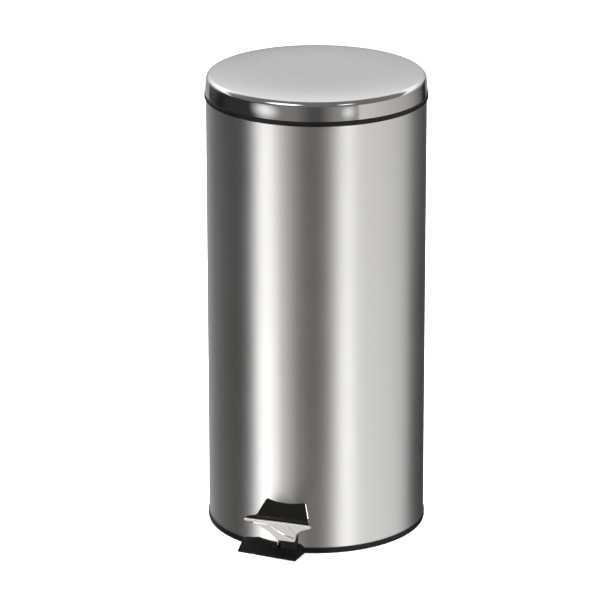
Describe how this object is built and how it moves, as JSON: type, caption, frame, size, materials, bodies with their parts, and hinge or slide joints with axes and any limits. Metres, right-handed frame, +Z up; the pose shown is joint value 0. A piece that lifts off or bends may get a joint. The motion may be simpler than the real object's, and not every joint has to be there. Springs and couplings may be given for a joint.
{
  "type": "pedal bin",
  "caption": "Round stainless steel pedal bin with a domed hinged lid, a lifting inner bucket and a foot lever that raises the lid through a push rod.",
  "frame": {"origin": "the body's axis where the flat underside of the base ring stands on the floor", "axes": "+Z up along the body's axis; -Y towards the pedal; +X to the right as seen from the pedal side"},
  "size_m": [0.296, 0.3546, 0.6279],
  "materials": {
    "satin_steel": "satin",
    "lid_steel": "satin top, polished band",
    "bright_steel": "polished",
    "zinc_steel": "zinc plated",
    "black_plastic": "fine moulded grain",
    "bucket_plastic": "moulded",
    "nylon": "natural",
    "rubber": "matte",
    "pad_rubber": "smooth matte"
  },
  "bodies": {
    "housing": {"body_shell": "satin_steel", "base_ring": "black_plastic", "front_foot": "black_plastic", "base_pads": "rubber", "base_floor": "zinc_steel", "pivot_bracket": "zinc_steel", "bracket_rivets": "bright_steel", "pivot_pin": "bright_steel", "pivot_washers": "nylon", "top_ring": "black_plastic", "hinge_block": "black_plastic", "hinge_screws": "bright_steel", "hinge_nuts": "zinc_steel", "hinge_pin": "bright_steel", "rod_guides": "nylon", "guide_rivets": "bright_steel"},
    "lid": {"lid_shell": "lid_steel", "lid_liner": "black_plastic", "lid_bracket": "zinc_steel", "lid_rivets": "bright_steel", "lid_bumpers": "rubber"},
    "pedal": {"pedal_lever": "bright_steel", "pedal_plate": "bright_steel", "pedal_pad": "pad_rubber"},
    "rod": {"push_rod": "bright_steel", "rod_foot": "nylon", "rod_eye": "zinc_steel", "crank_pin": "bright_steel"},
    "bucket": {"inner_bucket": "bucket_plastic", "bail_lugs": "bucket_plastic"},
    "bail": {"bail_wire": "bright_steel", "bail_grip": "black_plastic"}
  },
  "joints": [
    {"name": "lid_hinge", "type": "hinge", "parent": "housing", "child": "lid", "pos_m": [0, 0.15713, 0.598], "axis": [-1, 0, 0], "range_deg": [0, 75]},
    {"name": "pedal_pivot", "type": "hinge", "parent": "housing", "child": "pedal", "pos_m": [0.01, -0.06, 0.015], "axis": [1, 0, 0], "range_deg": [0, 7.3]},
    {"name": "rod_slide", "type": "slide", "parent": "housing", "child": "rod", "axis": [0, 0, 1], "range_m": [0, 0.02553]},
    {"name": "bucket_lift", "type": "slide", "parent": "housing", "child": "bucket", "axis": [0, 0, 1], "range_m": [0, 0.005]},
    {"name": "bail_swing", "type": "hinge", "parent": "bucket", "child": "bail", "pos_m": [0, 0, 0.6024], "axis": [-1, 0, 0], "range_deg": [0, 5]}
  ],
  "couplings": [
    {"joint": "pedal_pivot", "follows": "lid_hinge", "ratio": 0.097333},
    {"joint": "rod_slide", "follows": "lid_hinge", "m_per_rad": 0.019502}
  ]
}
